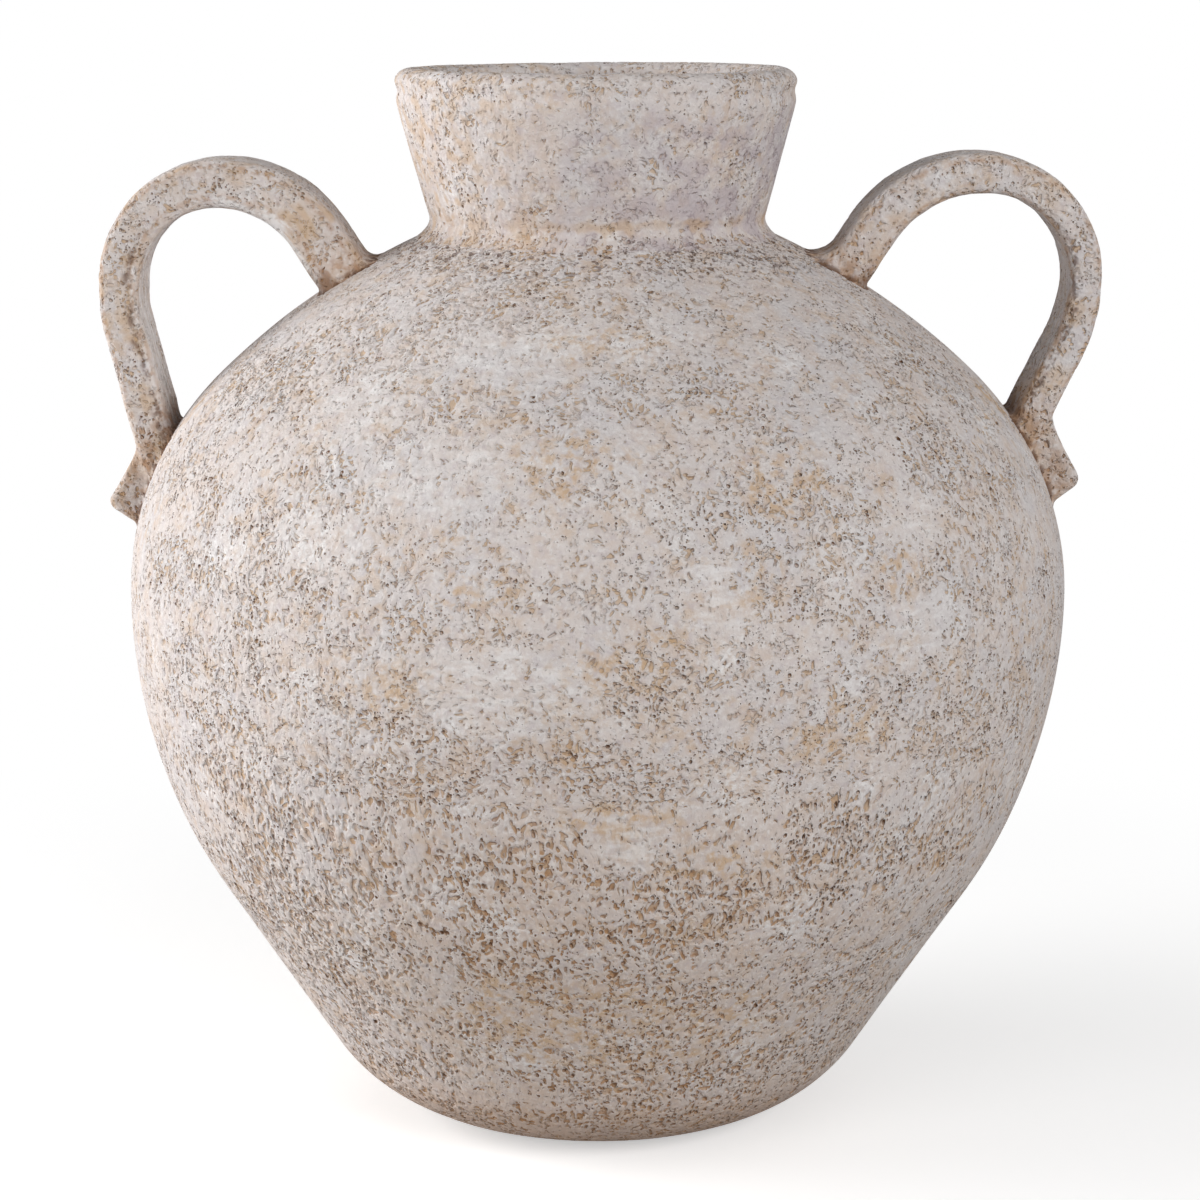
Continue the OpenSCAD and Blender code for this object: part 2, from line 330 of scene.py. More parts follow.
class Wire:
    """A socket of a node tree. Arithmetic with numbers or other wires adds the Math nodes that it needs."""

    def __init__(self, socket):
        self.socket = socket

    @staticmethod
    def node(tree, kind, settings=None, sockets=None, out=0):
        """Adds a node of any kind: its settings come first, then the values or links of its sockets."""
        made = tree.nodes.new(kind)
        for name, value in (settings or {}).items():
            setattr(made, name, value)
        for key, value in (sockets or {}).items():
            if isinstance(value, Wire):
                tree.links.new(value.socket, made.inputs[key])
            else:
                made.inputs[key].default_value = value
        return Wire(made.outputs[out]) if len(made.outputs) else made

    def new(self, *about):
        """Adds a node to this wire's tree."""
        return Wire.node(self.socket.id_data, *about)

    def also(self, out):
        """Another output of the node that this wire leaves."""
        return Wire(self.socket.node.outputs[out])

    def math(self, operation, *values):
        """A Math node on some values."""
        return self.new("ShaderNodeMath", {"operation": operation}, dict(enumerate(values)))

    def vector(self, operation, sockets, out=0):
        """A Vector Math node."""
        return self.new("ShaderNodeVectorMath", {"operation": operation}, sockets, out)

    __add__, __radd__ = math_method("ADD"), math_method("ADD", True)
    __sub__, __rsub__ = math_method("SUBTRACT"), math_method("SUBTRACT", True)
    __mul__, __rmul__ = math_method("MULTIPLY"), math_method("MULTIPLY", True)
    __truediv__ = math_method("DIVIDE")
    most, least = math_method("MAXIMUM"), math_method("MINIMUM")

    def size(self):
        return self.math("ABSOLUTE", self)

    def ramp(self, low, high):
        """0 up to low, 1 from high on, smooth between; low may be the larger."""
        smooth = {"interpolation_type": "SMOOTHSTEP"}
        return self.new("ShaderNodeMapRange", smooth, {0: self, 1: low, 2: high})

    def stretch(self, *factors):
        """This vector with each of its parts multiplied."""
        return self.vector("MULTIPLY", {0: self, 1: factors})

    def moved(self, by):
        """This vector with another added."""
        return self.vector("ADD", {0: self, 1: by})

    def less(self, other):
        """This vector with another taken away."""
        return self.vector("SUBTRACT", {0: self, 1: other})

    def times(self, factor):
        """This vector times a number."""
        return self.vector("SCALE", {0: self, "Scale": factor})

    def of(self, vector):
        """A fixed vector times this number."""
        return self.vector("SCALE", {0: vector, "Scale": self})

    def along(self, direction):
        """How far this vector reaches along a direction."""
        return self.vector("DOT_PRODUCT", {0: self, 1: direction}, "Value")

    def length(self):
        return self.vector("LENGTH", {0: self}, "Value")

    def part(self, axis):
        return self.new("ShaderNodeSeparateXYZ", {}, {0: self}, axis)

    def between(self, low, high):
        """The colour that this wire picks between two, low at 0 and high at 1."""
        return self.new("ShaderNodeMix", {"data_type": "RGBA"}, {0: self, 6: low, 7: high}, 2)

    def coated(self, *coats):
        """This colour under some coats, from the lowest up, each a colour and the mask of where it lies."""
        colour = self
        for coat, mask in coats:
            colour = mask.between(colour, coat)
        return colour


def kept(tree, name, kind="FLOAT_VECTOR"):
    """What the points of a piece keep under a name, in a carving's or a material's tree."""
    if tree.bl_idname == "GeometryNodeTree":
        return Wire.node(tree, "GeometryNodeInputNamedAttribute", {"data_type": kind}, {"Name": name})
    out = "Vector" if kind == "FLOAT_VECTOR" else "Fac"
    return Wire.node(tree, "ShaderNodeAttribute", {"attribute_name": name}, {}, out)


# In the patterns and looks below, a mottle takes the size of its marks in millimetres and then its seed,
# a ramp's limits are in the unit of its wire, and factors are shares from 0 to 1


def seeded(place, seed):
    """The place moved far off, so that each seed gives its own pattern."""
    return place.moved((37.0 * seed, 101.0 * seed, 59.0 * seed))


def mottle(place, size, seed, detail=2.0, rough=0.5):
    """Soft noise from 0 to 1, with marks about size millimetres across."""
    return place.new("ShaderNodeTexNoise", {}, {
        "Vector": seeded(place, seed), "Scale": 1 / size, "Detail": detail, "Roughness": rough})


def wander(place, size, reach, seed):
    """The place, shaken by up to about reach millimetres."""
    shake = mottle(place, size, seed).also(1)
    return place.moved(shake.less((0.5, 0.5, 0.5)).times(2 * reach))


def cells(place, size, seed):
    """Distance to the middle of the nearest of many scattered cells, in cell sizes."""
    return place.new("ShaderNodeTexVoronoi", {"feature": "F1"}, {
        "Vector": seeded(place, seed).times(1 / size), "Scale": 1.0})


def cell_chance(cell):
    """A number from 0 to 1 that is the same all over a cell."""
    return cell.also("Color").part(0)


def shadow_side(cell, place, size, seed):
    """Which side of its cell a point lies on: 1 under the upper lip, where its shadow is painted, -1
    opposite.
    """
    rel = seeded(place, seed).times(1 / size).less(cell.also("Position"))
    return rel.along(SHADOW_LIP) / cell.most(0.02)


def paint(code):
    """Linear colour of a hexadecimal one."""
    channels = [int(code[k:k + 2], 16) / 255 for k in (1, 3, 5)]
    return (*[c / 12.92 if c <= 0.04045 else ((c + 0.055) / 1.055) ** 2.4 for c in channels], 1.0)


# Colours of the lime skin, of the clay under it and of the wash that lies in its pits; the wash colour also
# paints shadow and shade
LIME_WARM = paint("#d1c8c4")
LIME_GREY = paint("#cdc7c6")
LIME_WHITE = paint("#e5e2e1")
LIME_TAN = paint("#c9b5a7")
OCHRE = paint("#c2a27e")
OCHRE_DEEP = paint("#a87f5a")
WASH_AND_SHADOW = paint("#60402b")
# Near black, painted as the shade inside pinholes
PIN_SHADE = paint("#56423a")
VIOLET = paint("#b4a8ad")
VEIN = paint("#8d7c80")
CLAY = paint("#b59470")

# Level of the gloss of all four finishes
MATT = 0.2

# Direction of the upper lips of the hollows, under which shadow is painted along with some wash, and how far
# the painted shadow reaches from them
SHADOW_LIP = (0.6, 0.0, 0.8)
SHADOW_REACH = 0.42

# Size of the hollows and lumps of the lime paste, and of the holes, pits, pinholes and slits in it
HOLLOW, PASTE, HOLE, PIT, PINHOLE, SLIT = 1.75, 3.2, 2.2, 1.3, 0.9, 2.4

# The way the slits run, and how many times longer than wide they are
SLIT_WAY = (0.51, 0.31, -0.80)
SLIT_LONG = 6.0

# Height under which marks on the body are drawn out upright, and by what share the place is squeezed for it
DRAWN_Z, DRAWN_SHARE = 140.0, 0.4

# Patches of the body: degrees from the front, height, half the width and half the height. The first were
# wiped smooth, the second left open
WIPED = ((-20, 236, 24, 11), (-10, 177, 26, 14), (13, 205, 13, 13), (37, 188, 16, 12), (-15, 266, 26, 9),
         (4, 131, 13, 11), (41, 219, 14, 10), (-36, 250, 18, 12))
OPEN = ((-42, 200, 8, 42), (-47, 90, 26, 40), (8, 100, 26, 18), (29, 131, 20, 12), (2, 151, 34, 9),
        (48, 243, 18, 22), (-20, 141, 16, 10), (6, 182, 18, 10), (-58, 256, 16, 18), (-4, 122, 36, 13))

# Smears of clay on the wall where the straps leave it, and patches where thin lime lets the clay tint it
SMEARED = ((80, 243, 8, 16), (-80, 243, 6, 13))
TINTED = ((5, 184, 22, 9), (23, 234, 16, 12), (-4, 240, 20, 9), (28, 160, 20, 10), (-25, 175, 18, 12),
          (0, 60, 60, 22), (-14, 205, 12, 8), (12, 122, 18, 7), (18, 209, 10, 12), (36, 206, 10, 10),
          (0, 272, 18, 6), (2, 137, 18, 7))


def paste_over(place, bare):
    """Height of the lime paste over the level at which it leaves the clay bare, in hollow sizes.
    The hollows run together where it is barer."""
    opened = 0.11 + 0.40 * bare + 1.4 * (mottle(place, PASTE, 4) - 0.5)
    return cells(place, HOLLOW, 3) - opened.least(0.50)


def recesses(place, bare):
    """Where the paste leaves the clay bare: the mask, the same a step towards the upper lip, from which the
    band of painted shadow under that lip is taken, and the paste's height.
    """
    shaken = wander(wander(place, 8.0, 3.6, 17), 1.4, 0.8, 1)
    stepped = shaken.moved(tuple(SHADOW_REACH * part for part in SHADOW_LIP))
    over, over_stepped = [paste_over(p, bare) for p in (shaken, stepped)]
    return over.ramp(0.07, -0.11), over_stepped.ramp(0.07, -0.11), over


def slit_mask(place, chances):
    """Short thin cuts that run one way, as a finger drags them."""
    shaken = wander(place, 4.0, 0.9, 2)
    along = shaken.along(SLIT_WAY) * (1 / SLIT_LONG - 1)
    cut = cells(shaken.moved(along.of(SLIT_WAY)), SLIT, 9)
    return (0.16 * (cell_chance(cut) + chances - 1.0).least(0.8) - cut).ramp(0.0, 0.06)


def holes(place, size, seed, chances):
    """Round holes, the painted shadow under their upper lips, the pale lips round them, which are a painted
    highlight, and their bowls.
    """
    cell = cells(place, size, seed)
    opened = (cell_chance(cell) + chances).least(0.85)
    inside = 0.42 * opened - cell
    some = opened.ramp(0.1, 0.3)
    mask = inside.ramp(0.0, 0.12)
    shade = mask * shadow_side(cell, place, size, seed).ramp(-0.6, 0.5)
    # A painted highlight on the raised lip round each hole
    lip = inside.ramp(-0.14, -0.02) * (1 - mask) * some
    bowl = inside.ramp(-0.10, 0.26) * some
    return mask, shade, lip, bowl


def skin(place, bare):
    """Masks of the lime skin from 0 to 1, where bare runs from 0, wiped smooth, to 1, mostly open."""
    here, beyond, over = recesses(place, bare)
    # More holes, pits and slits towards the jar's left and right, where their painted darkness stands in for
    # the shade of light grazing there
    grazed_sides = place.part(0).size().ramp(20.0, 80.0)
    clusters = mottle(place, 8.0, 7).ramp(0.36, 0.66) * (0.7 + 0.3 * grazed_sides)
    shaken = wander(place, 1.2, 0.35, 5)
    hole, hole_line, hole_highlight, bowl = holes(shaken, HOLE, 14, bare * 0.7 + clusters * 0.6 - 0.86)
    pit, pit_shadow = holes(shaken, PIT, 4, bare * 0.5 + clusters * 0.5 - 0.76)[:2]
    pin = holes(shaken, PINHOLE, 6, bare * 0.35 + clusters * 0.5 - 0.80)[0]
    return {
        "floor": here,
        # line: painted shadow under the upper lips of the hollows, darkened further with some wash
        "line": here * (1 - beyond),
        # lip: pale rings round the hollows and holes, a painted highlight on their raised lips
        "lip": (over.ramp(0.12, 0.0) * (1 - here)).most(hole_highlight),
        "dip": over.ramp(0.06, -0.34),
        "rise": over.ramp(-0.1, 0.25),
        "bowl": bowl,
        "pit": hole.most(pit),
        # pit_shadow: painted shadow under the upper lips of the holes
        "pit_shadow": hole_line.most(pit_shadow),
        "pin": pin,
        "slit": slit_mask(place, bare * 0.3 + clusters * 0.4),
        "lumps": mottle(place, 1.5, 8, 3.0, 0.6),
        "swell": mottle(place, 3.2, 15, 1.5),
    }


# How many millimetres each mask of the skin lifts or sinks it, from a level over its deepest pits
SKIN_LEVEL = 0.9
SKIN_RELIEF = {"floor": -0.10, "dip": -0.15, "pit": -0.32, "pin": -0.30, "slit": -0.25, "bowl": -0.40,
               "lip": 0.06, "rise": 0.25, "lumps": 0.50, "swell": 0.75}


def skin_height(masks):
    """Height of the skin above the floor of its deepest pits, in millimetres."""
    height = SKIN_LEVEL
    for name, relief in SKIN_RELIEF.items():
        height = height + relief * masks[name]
    return height


def patch(place, turn, height, wide, high):
    """1 within a patch of the body's skin, fading to 0 round it."""
    line = body_line(1.0, ROOT_Z, 0, 4.0)
    radius = np.interp(height, line[:, 1], line[:, 0])
    a = math.radians(turn)
    rel = place.moved((-radius * math.sin(a), radius * math.cos(a), -height))
    return rel.stretch(1 / wide, 1 / wide, 1 / high).length().ramp(1.25, 0.6)


def patches(place, spots):
    """1 within any of some patches."""
    shaken = wander(place, 14.0, 7.0, 10)
    masks = [patch(shaken, *spot) for spot in spots]
    for mask in masks[1:]:
        masks[0] = masks[0].most(mask)
    return masks[0]


def drawn(place):
    """The body's place squeezed upright in its low part, so that marks there come out longer upright."""
    squeeze = (DRAWN_Z - place.part(2)).most(0.0) * DRAWN_SHARE
    return place.moved(squeeze.of((0.0, 0.0, 1.0)))


def body_bare(tree):
    """How bare the lime leaves the body, from 0 where it was wiped smooth to 1."""
    place = kept(tree, PLACE)
    bands = mottle(place.stretch(0.4, 0.4, 1.0), 20.0, 11, 2.5).ramp(0.34, 0.66)
    blots = mottle(place, 14.0, 12).ramp(0.36, 0.64)
    root_row = place.part(2).ramp(ROOT_Z - 14, ROOT_Z - 7)
    opened = 0.02 + 0.52 * bands + 0.42 * blots + 0.42 * patches(place, OPEN).most(root_row)
    opened = opened + 0.18 * place.part(2).ramp(170.0, 110.0)
    return opened.least(1.0) * (1 - 0.7 * patches(place, WIPED))


def neck_bare(tree):
    """How bare the lime leaves the neck, more along its rim and its root."""
    place = kept(tree, PLACE)
    blots = mottle(place.stretch(1.0, 1.0, 0.8), 15.0, 21).ramp(0.42, 0.68)
    rim = place.part(2).ramp(LIP_Z - 5, LIP_Z + 1)
    root = place.part(2).ramp(ROOT_Z + 2.5, ROOT_Z + 0.5)
    return 0.12 + 0.52 * blots + 0.24 * rim + 0.45 * root


def strap_bare(tree):
    """How bare the lime leaves the straps, less close to the wall."""
    blots = mottle(kept(tree, PLACE), 12.0, 31).ramp(0.40, 0.66)
    return 0.30 + 0.40 * blots * kept(tree, GAP, "FLOAT").ramp(-2.0, 14.0)


def hollows(place, bare, depth):
    """Depth of the hollows that the paste leaves, in millimetres."""
    return depth * recesses(place, bare)[2].ramp(0.10, -0.14)


def body_depth(place, bare):
    """Hollows of the body and the slow waves that the thrower's hands leave."""
    return hollows(drawn(place), bare, BODY_HOLLOW) + mottle(place, 55.0, 13, 1.0) * BODY_WAVE - BODY_PROUD


def neck_depth(place, bare):
    """Hollows and dents of the neck, and the groove under its lip."""
    groove = (place.part(2) - LIP_Z).size().ramp(4.0, 0.0) * LIP_GROOVE
    return hollows(place, bare, NECK_HOLLOW) + mottle(place, 20.0, 23) * NECK_DENT - NECK_PROUD + groove


def strap_depth(place, bare):
    """Hollows and finger dents of the straps."""
    return hollows(place, bare, STRAP_HOLLOW) + mottle(place, 11.0, 33) * STRAP_DENT


def inside_depth(place):
    """Throwing rings inside the jar."""
    return THROWN_RING * mottle(place.stretch(0.15, 0.15, 1.0), 5.0, 41, 1.0)


def underside_depth(place):
    """Wear under the foot and on the inside of the floor."""
    return FOOT_WEAR * mottle(place, 9.0, 42)


def taken(piece):
    """Puts the piece's modified mesh in place of its own, with no modifier left."""
    graph = bpy.context.evaluated_depsgraph_get()
    shaped = piece.evaluated_get(graph)
    mesh = bpy.data.meshes.new_from_object(shaped, preserve_all_data_layers=True, depsgraph=graph)
    piece.modifiers.clear()
    piece.data = mesh
    return piece


def carve(piece, bare_of, depth_of, inner_depth_of=None):
    """Sinks the skin of a piece by a depth worked out at each point, and keeps how bare the point is."""
    tree = bpy.data.node_groups.new(piece.name + "_carving", "GeometryNodeTree")
    for way in ("INPUT", "OUTPUT"):
        tree.interface.new_socket("Geometry", in_out=way, socket_type="NodeSocketGeometry")
    place, bare = kept(tree, PLACE), bare_of(tree)
    depth = depth_of(place, bare)
    if inner_depth_of:
        depth = depth + (inner_depth_of(place) - depth) * kept(tree, INNER, "FLOAT")
    start = Wire.node(tree, "NodeGroupInput")
    noted = Wire.node(tree, "GeometryNodeStoreNamedAttribute", {"data_type": "FLOAT", "domain": "POINT"},
                      {"Geometry": start, "Name": BARE, "Value": bare})
    offset = kept(tree, OUTWARD).times(depth * -MM)
    sunk = Wire.node(tree, "GeometryNodeSetPosition", {}, {"Geometry": noted, "Offset": offset})
    Wire.node(tree, "NodeGroupOutput", {}, {0: sunk})
    piece.modifiers.new("carving", "NODES").node_group = tree
    taken(piece)
    for name in (OUTWARD, INNER):
        if name in piece.data.attributes:
            piece.data.attributes.remove(piece.data.attributes[name])
    return piece


def clay_material(name, look_of):
    """A matt material: look_of gives its colour, roughness and height in millimetres."""
    material = bpy.data.materials.new(name)
    material.use_nodes = True
    tree = material.node_tree
    shader = tree.nodes["Principled BSDF"]
    colour, rough, height = look_of(tree)
    bump = Wire.node(tree, "ShaderNodeBump", {}, {"Strength": 1.0, "Distance": MM, "Height": height})
    for socket, wire in (("Base Color", colour), ("Roughness", rough), ("Normal", bump)):
        tree.links.new(wire.socket, shader.inputs[socket])
    shader.inputs["Specular IOR Level"].default_value = MATT
    return material


def limed(place, masks, low, tint=None):
    """Colour, roughness and height of a lime skin with pits, with shadow painted under their upper lips and
    a highlight painted on their rims. It is most stained where low is 1, and thinner where there is a tint."""
    tone = mottle(place, 26.0, 51, 3.0)
    stain = mottle(place, 8.0, 53, 3.0)
    white = mottle(place, 22.0, 54).ramp(0.52, 0.72) * mottle(place, 1.8, 55).ramp(0.40, 0.62)
    thin = mottle(place, 13.0, 50).ramp(0.44, 0.64) * 0.4
    if tint is not None:
        thin = thin + tint
    thin = mottle(place, 4.0, 52, 3.0).ramp(0.42, 0.62) * thin
    ochre = mottle(place, 7.0, 57).ramp(0.38, 0.64)
    deep = masks["floor"] * (0.05 + 0.85 * low) * mottle(place, 2.6, 76).ramp(0.30, 0.66)
    # Painted shadow under the upper lips of hollows and holes, with some dark wash; line_darkness varies how
    # dark it is, and it is darker where low is 1
    line_darkness = mottle(place, 3.4, 58, 1.0).ramp(0.40, 0.66)
    shade = masks["line"] * (0.10 + 0.25 * low + 0.45 * line_darkness)
    shade = shade.most(masks["pit_shadow"] * (0.50 + 0.48 * line_darkness))
    colour = tone.ramp(0.40, 0.62).between(LIME_WARM, LIME_GREY).coated(
        (LIME_TAN, (stain.ramp(0.44, 0.72) * 0.5 + low * 0.32).least(1.0)),
        (OCHRE, (thin + low * 0.1).least(0.75)),
        (VIOLET, mottle(place, 3.0, 56).ramp(0.50, 0.72) * 0.35),
        (LIME_WHITE, (white * 0.6 + masks["lumps"].ramp(0.48, 0.70) * 0.40).least(1.0)),
        # Painted highlight on the raised lips round hollows and holes
        (LIME_WHITE, masks["lip"] * 0.45),
        (OCHRE, masks["floor"] * (0.10 + 0.60 * ochre)),
        (OCHRE_DEEP, deep.most(masks["pit"] * (0.4 + 0.3 * low))),
        # Painted shadow under the lips, with wash, and wash in the slits
        (WASH_AND_SHADOW, shade.most(masks["slit"] * 0.75)),
        # Pinholes painted near black as the shade inside them
        (PIN_SHADE, masks["pin"] * 0.85))
    return colour, 0.88 - 0.08 * white, skin_height(masks)


def body_look(tree):
    """The limed body: stained low down, stroked white where it was wiped, holed along the neck with painted
    shade in the holes.
    """
    place = kept(tree, PLACE)
    z = place.part(2)
    masks = skin(drawn(place), kept(tree, BARE, "FLOAT"))
    low = z.ramp(215.0, 90.0) * (1 - 0.6 * place.part(0).size().ramp(30.0, 100.0))
    colour, rough, height = limed(place, masks, low, patches(place, TINTED) * 0.6)
    dragged = wander(place, 5.0, 1.5, 71).stretch(0.3, 0.3, 1.0)
    strokes = mottle(dragged, 2.4, 70, 3.0).ramp(0.44, 0.68)
    smears = patches(place, SMEARED) * mottle(place, 4.0, 59).ramp(0.40, 0.60)
    # A row of dents just under the neck's coil, painted dark as the shade in them
    shaded_row = mottle(place.stretch(0.7, 0.7, 1.0), 1.9, 60, 1.0).ramp(0.60, 0.68)
    shaded_row = z.ramp(ROOT_Z - 12, ROOT_Z - 7) * shaded_row
    colour = colour.coated(
        (LIME_WHITE, patches(place, WIPED) * strokes * 0.58),
        (OCHRE, smears * 0.8),
        (WASH_AND_SHADOW, shaded_row * 0.6),
        (OCHRE_DEEP, z.ramp(36.0, 4.0) * 0.45))
    return colour, rough, height - shaded_row * 0.7


def neck_look(tree):
    """The wiped neck: cream to the left, violet grey to the right, stained along its root."""
    place = kept(tree, PLACE)
    shaken = wander(place, 12.0, 12.0, 69)
    x, z = shaken.part(0), place.part(2)
    masks = skin(place, kept(tree, BARE, "FLOAT"))
    colour, rough, height = limed(place, masks, z.ramp(ROOT_Z + 20, ROOT_Z - 5) * 0.4)
    cream = mottle(place, 5.0, 64, 2.5).ramp(0.46, 0.64) * x.ramp(0.0, -50.0)
    grey = mottle(place, 9.0, 65, 2.5).ramp(0.40, 0.62) * x.ramp(-48.0, 32.0)
    grey = grey * shaken.part(2).ramp(LIP_Z, LIP_Z - 12)
    vein = (mottle(place, 5.0, 66) - 0.5).size().ramp(0.045, 0.0)
    vein = vein * mottle(place, 6.0, 68).ramp(0.50, 0.62)
    root = (z - ROOT_Z - 4.5 + 8.0 * (mottle(place, 6.0, 77) - 0.5)).size().ramp(2.4, 0.6)
    root = root * mottle(place, 14.0, 67).ramp(0.40, 0.58) * x.ramp(-60.0, 10.0)
    colour = colour.coated(
        (OCHRE, cream * 0.5),
        (VIOLET, grey * 0.62),
        (VEIN, vein * x.ramp(-28.0, -4.0) * z.ramp(LIP_Z, LIP_Z - 14) * 0.55),
        (OCHRE, root * 0.55))
    return colour, rough, height


def strap_look(tree):
    """The straps: ochre streaks to the front, a dark seam down the legs, bare clay at the wall, painted
    shadow in the pocket between the inner side and the wall, and painted light on the left strap's inner
    face.
    """
    place, run, gap = kept(tree, PLACE), kept(tree, RUN), kept(tree, GAP, "FLOAT")
    along, across, out = [run.part(axis) for axis in (0, 1, 2)]
    left = place.part(0).ramp(20.0, -20.0)
    front = across.ramp(-9.0, -13.0)
    masks = skin(place, kept(tree, BARE, "FLOAT"))
    colour, rough, height = limed(place, masks, gap.ramp(20.0, 4.0) * 0.8)
    streaks = mottle(run.stretch(0.2, 1.0, 1.0), 2.6, 71).ramp(0.44, 0.62)
    blots = mottle(place, 9.0, 72).ramp(0.40, 0.62)
    ochre = front * (streaks * blots * 0.50 + blots * 0.30) * (0.55 + 0.22 * left)
    ragged = mottle(place, 2.2, 73).ramp(0.40, 0.62)
    seam = (out + 3.6 + 4.0 * (mottle(place, 5.0, 74) - 0.5)).size().ramp(2.0, 0.3)
    seam = seam * across.ramp(-8.0, -11.0) * along.ramp(62.0, 88.0) * ragged
    rubbed = gap.ramp(13.0, 2.0) * mottle(place, 4.0, 75).ramp(0.42, 0.60)
    worn_edge = (out.size() - 5.2).size().ramp(1.6, 0.2) * front * ragged
    # Painted shadow in the pocket between a strap's inner side and the wall
    pocket_shadow = gap.ramp(9.0, 0.5) * out.ramp(-2.5, -5.0) * 0.6
    crack = gap.ramp(2.4, 0.3) * mottle(place, 3.0, 78).ramp(0.36, 0.56) * 0.85
    colour = colour.coated(
        (OCHRE, ochre),
        # Painted light: the left strap's inner face made paler, as if lit
        (LIME_WHITE, out.ramp(-4.0, -5.6) * left * streaks * 0.8),
        (OCHRE_DEEP, rubbed * 0.6),
        (OCHRE_DEEP, worn_edge * 0.5),
        (WASH_AND_SHADOW, (seam * 0.65).most(crack).most(pocket_shadow)))
    return colour, rough, height - seam * 0.4


def bare_look(tree):
    """Bare clay inside the jar and under its foot."""
    place = kept(tree, PLACE)
    colour = mottle(place, 12.0, 61, 3.0).ramp(0.4, 0.7).between(CLAY, LIME_TAN)
    rings = mottle(place.stretch(0.15, 0.15, 1.0), 4.0, 62).ramp(0.5, 0.7)
    grain = mottle(place, 0.9, 63)
    return colour.coated((OCHRE_DEEP, rings * 0.5)), grain * 0.1 + 0.8, grain * 0.15


limed_clay = clay_material("limed_clay", body_look)
wiped_clay = clay_material("wiped_clay", neck_look)
strap_clay = clay_material("strap_clay", strap_look)
bare_clay = clay_material("bare_clay", bare_look)


def shown(piece, slot, nodes, *materials):
    """Gives a piece its materials, hangs it under the root and hides the solids that it stands for."""
    piece.data.materials.clear()
    for material in materials:
        piece.data.materials.append(material)
    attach(piece, "root")
    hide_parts(*nodes)


def saddle(piece):
    """Warps the rim and the neck under it out of true, as a thumb leaves them."""
    co = point_array(piece.data, "co") / MM
    share = np.clip((co[:, 2] - ROOT_Z) / (JAR_H - ROOT_Z), 0, 1)
    across, deep = co[:, 0] / RIM_R, co[:, 1] / RIM_R
    co[:, 2] += share * (RIM_TILT * across + RIM_TWIST * across * deep - RIM_SUNK)
    co[:, 0] -= RIM_SHIFT * share
    move_points(piece.data, co)
    return piece


def make_floor():
    """The floor, with the foot's rounded edge up to where the lower wall laps it."""
    toe_z = FLOOR_T + TOE_RISE
    toe_r = FOOT_C[0] + math.sqrt((FOOT_ROUND - WALL_T) ** 2 - (FOOT_ROUND - toe_z) ** 2)
    top_r = toe_r - TOE_GAP
    under = even([[HUB_R, 0.0], [FOOT_C[0], 0.0]], INSIDE_STEP)
    foot = even(arc(FOOT_C, FOOT_ROUND, -90, -LOW_TURN), SKIN_STEP)
    foot = foot[(foot[:, 1] > 0) & (foot[:, 1] < LAP_Z)]
    edge = body_line(LAP_Z, LAP_Z + 1, 0, 1)[:1]
    lap = [[top_r, LAP_Z]]
    top = even([[top_r, FLOOR_T], [HUB_R, FLOOR_T]], INSIDE_STEP)
    strips = [(under, INSIDE_AROUND, 1), (np.concatenate([foot, edge]), BODY_AROUND, 0),
              (lap, INSIDE_AROUND, 1), (top, INSIDE_AROUND, 1)]
    piece = carve(lathe("bare_floor", strips, True), body_bare, body_depth, underside_depth)
    shown(piece, "bare_clay", ["floor_slab"], limed_clay, bare_clay)


def make_wall(name, node, outer, inner):
    """A thrown wall, from the lines up its skin and down its inside."""
    strips = [(outer, BODY_AROUND, 0), (inner, INSIDE_AROUND, 1)]
    piece = carve(lathe(name, strips), body_bare, body_depth, inside_depth)
    shown(piece, "limed_clay", [node], limed_clay, bare_clay)


def make_lower_wall():
    """The thrown lower wall, from the floor to the belly."""
    outer = body_line(LAP_Z, BELLY_Z, 0, SKIN_STEP)
    inner = body_line(FLOOR_T + TOE_RISE, BELLY_Z, WALL_T, INSIDE_STEP)[::-1]
    toe = [[inner[-1, 0], LAP_Z]]
    make_wall("limed_lower_wall", "lower_wall", outer, np.concatenate([inner, toe]))


def make_shoulder_wall():
    """The thrown shoulder, from the belly to the neck's seat."""
    outer = body_line(BELLY_Z, ROOT_Z, 0, SKIN_STEP)
    inner = body_line(BELLY_Z, SEAT_Z - WALL_T + 1, WALL_T, INSIDE_STEP)[::-1]
    throat_r = neck_line(SEAT_Z) - NECK_T
    throat = [[throat_r, SEAT_Z], [throat_r, inner[0, 1]]]
    make_wall("limed_shoulder", "shoulder_wall", outer, np.concatenate([throat, inner]))


def make_neck():
    """The flared neck, with fewer points inside."""
    heights = even([[0.0, SEAT_Z], [0.0, NECK_TOP]], NECK_STEP)[:, 1]
    outer = np.stack([neck_line(heights), heights], -1)
    inner = (outer - [NECK_T, 0])[::-2]
    strips = [(outer, NECK_AROUND, 0), (inner, NECK_AROUND // 2, 1)]
    piece = carve(saddle(lathe("wiped_neck", strips)), neck_bare, neck_depth, inside_depth)
    shown(piece, "wiped_clay", ["neck_collar"], wiped_clay, bare_clay)


def make_rim():
    """The rolled rim: a half round over two short flanks that run down to the neck."""
    mid = MOUTH_R - NECK_T / 2
    lip = RIM_T / 2
    flank_z = NECK_TOP + RIM_FLANK
    line = np.concatenate([
        [[MOUTH_R, NECK_TOP], [mid + lip - FLANK_OUT, flank_z]],
        arc([mid, JAR_H - lip], lip, 0, 180, 24),
        [[mid - lip + FLANK_IN, flank_z], [MOUTH_R - NECK_T, NECK_TOP]],
    ])
    strips = [(even(line, NECK_STEP), NECK_AROUND, 0)]
    piece = carve(saddle(lathe("wiped_rim", strips)), neck_bare, neck_depth)
    shown(piece, "wiped_clay", ["rim_coil"], wiped_clay)


